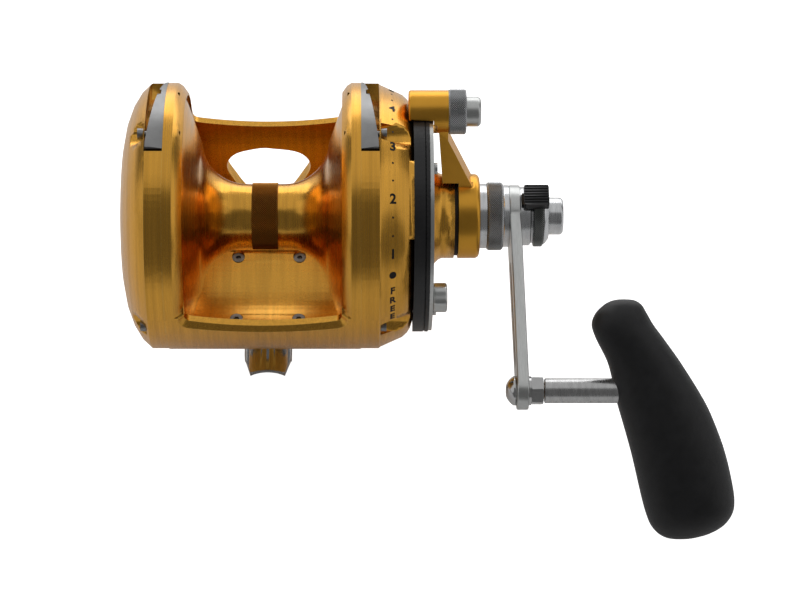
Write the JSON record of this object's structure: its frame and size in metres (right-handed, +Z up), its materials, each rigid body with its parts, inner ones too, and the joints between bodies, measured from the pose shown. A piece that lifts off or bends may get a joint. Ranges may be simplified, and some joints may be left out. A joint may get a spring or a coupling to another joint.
{
  "type": "two-speed trolling fishing reel",
  "caption": "Gold anodised lever-drag trolling reel with a quadrant drag lever, geared two-speed crank and a black T-bar grip.",
  "frame": {"origin": "on the rod's centreline, under the middle of the spool", "axes": "+X along the spool axis towards the crank, +Y forward along the rod towards its tip, +Z up from the rod through the spool axis"},
  "size_m": [0.2716, 0.196, 0.1354],
  "materials": {
    "gold_satin": "brushed, gold anodised",
    "gold_spool": "fine turned, gold anodised",
    "gold_knurl": "knurled, gold anodised",
    "silver_satin": "satin, clear anodised",
    "silver_knurl": "diamond knurled, clear anodised",
    "steel_polished": "polished stainless steel",
    "steel_brushed": "brushed stainless steel",
    "gear_steel": "machined",
    "bronze": "machined",
    "black_plastic": "satin black",
    "drag_fibre": "woven carbon fibre",
    "seal_rubber": "matt",
    "grip_rubber": "soft matt moulding"
  },
  "bodies": {
    "reel_body": {"frame": "gold_satin", "reel_foot": "steel_polished", "foot_screws": "steel_brushed", "left_cover": "gold_satin", "left_cover_screws": "steel_brushed", "shaft_bearing": "gear_steel", "right_cover": "gold_satin", "right_cover_screws": "steel_brushed", "gear_bridge": "silver_satin", "bridge_screws": "steel_brushed", "crank_bush": "bronze", "crank_bearing": "gear_steel", "anti_reverse_bearing": "gear_steel", "drive_bearing": "gear_steel", "harness_lug_left": "steel_polished", "harness_lug_right": "steel_polished", "drag_quadrant": "black_plastic", "quadrant_plate": "silver_satin", "quadrant_screws": "steel_brushed", "free_stop": "silver_satin", "hub_seal": "seal_rubber", "hub_circlip": "steel_brushed", "drag_springs": "steel_brushed", "thrust_washer": "gear_steel"},
    "click": {"click_button": "black_plastic"},
    "shaft": {"spool_shaft": "steel_brushed"},
    "spool": {"spool": "gold_spool", "arbor_band": "gold_knurl", "drag_washer": "drag_fibre", "spool_bearings": "gear_steel", "click_gear": "bronze"},
    "preset": {"preset_knob": "silver_satin", "preset_knurl": "silver_knurl"},
    "drive": {"drag_plate": "silver_satin", "double_pinion": "gear_steel"},
    "low_wheel": {"low_gear": "gear_steel"},
    "crank": {"crank_shaft": "gear_steel", "crank_collar": "silver_satin", "crank_arm": "silver_satin", "hub_nut": "silver_satin", "shift_housing": "silver_satin", "shift_knurl": "steel_brushed", "shift_spring": "steel_brushed", "high_gear": "gear_steel", "gear_spacer": "bronze", "grip_pin": "steel_polished", "grip_nut": "steel_polished", "grip_retainer": "steel_polished"},
    "shifter": {"shift_button": "silver_satin"},
    "latch": {"shift_latch": "black_plastic"},
    "handle": {"grip": "grip_rubber", "grip_spindle": "steel_brushed", "grip_bushes": "bronze"},
    "lever": {"drag_lever": "gold_satin", "lever_collar": "silver_knurl", "lever_cam": "gear_steel", "lever_button_spring": "steel_brushed"},
    "lever_plunger": {"lever_button": "silver_satin"}
  },
  "joints": [
    {"name": "crank_turn", "type": "hinge", "parent": "reel_body", "child": "crank", "pos_m": [0.09, 0.018, 0.05855], "axis": [1, 0, 0], "continuous": true},
    {"name": "grip_spin", "type": "hinge", "parent": "crank", "child": "handle", "pos_m": [0.14, -0.082, 0.05855], "axis": [1, 0, 0], "continuous": true},
    {"name": "shift_press", "type": "slide", "parent": "crank", "child": "shifter", "axis": [-1, 0, 0], "range_m": [0, 0.002], "stiffness_N_per_m": 400, "springref_m": -0.001, "deforming": ["shift_spring"]},
    {"name": "latch_slide", "type": "slide", "parent": "crank", "child": "latch", "axis": [1, 0, 0], "range_m": [0, 0.0022]},
    {"name": "low_gear_spin", "type": "hinge", "parent": "reel_body", "child": "low_wheel", "pos_m": [0.056, 0.018, 0.05855], "axis": [1, 0, 0], "continuous": true},
    {"name": "drive_spin", "type": "hinge", "parent": "reel_body", "child": "drive", "pos_m": [0.05, 0, 0.08], "axis": [1, 0, 0], "continuous": true},
    {"name": "lever_swing", "type": "hinge", "parent": "reel_body", "child": "lever", "pos_m": [0.088, 0, 0.08], "axis": [1, 0, 0], "range_deg": [-32, 92.5]},
    {"name": "lever_press", "type": "slide", "parent": "lever", "child": "lever_plunger", "axis": [-1, 0, 0], "range_m": [0, 0.0016], "stiffness_N_per_m": 400, "springref_m": -0.001, "deforming": ["lever_button_spring"]},
    {"name": "shaft_slide", "type": "slide", "parent": "reel_body", "child": "shaft", "axis": [1, 0, 0], "range_m": [-0.0008, 0.00028]},
    {"name": "spool_spin", "type": "hinge", "parent": "shaft", "child": "spool", "pos_m": [0, 0, 0.08], "axis": [1, 0, 0], "continuous": true},
    {"name": "preset_turn", "type": "hinge", "parent": "shaft", "child": "preset", "pos_m": [0.1, 0, 0.08], "axis": [1, 0, 0], "range_deg": [-360, 360]},
    {"name": "click_slide", "type": "slide", "parent": "reel_body", "child": "click", "axis": [0, -0.6428, 0.766], "range_m": [0, 0.0045]}
  ],
  "couplings": [
    {"joint": "spool_spin", "follows": "crank_turn", "ratio": -3},
    {"joint": "drive_spin", "follows": "crank_turn", "ratio": -3},
    {"joint": "low_gear_spin", "follows": "crank_turn", "ratio": 2.25}
  ]
}
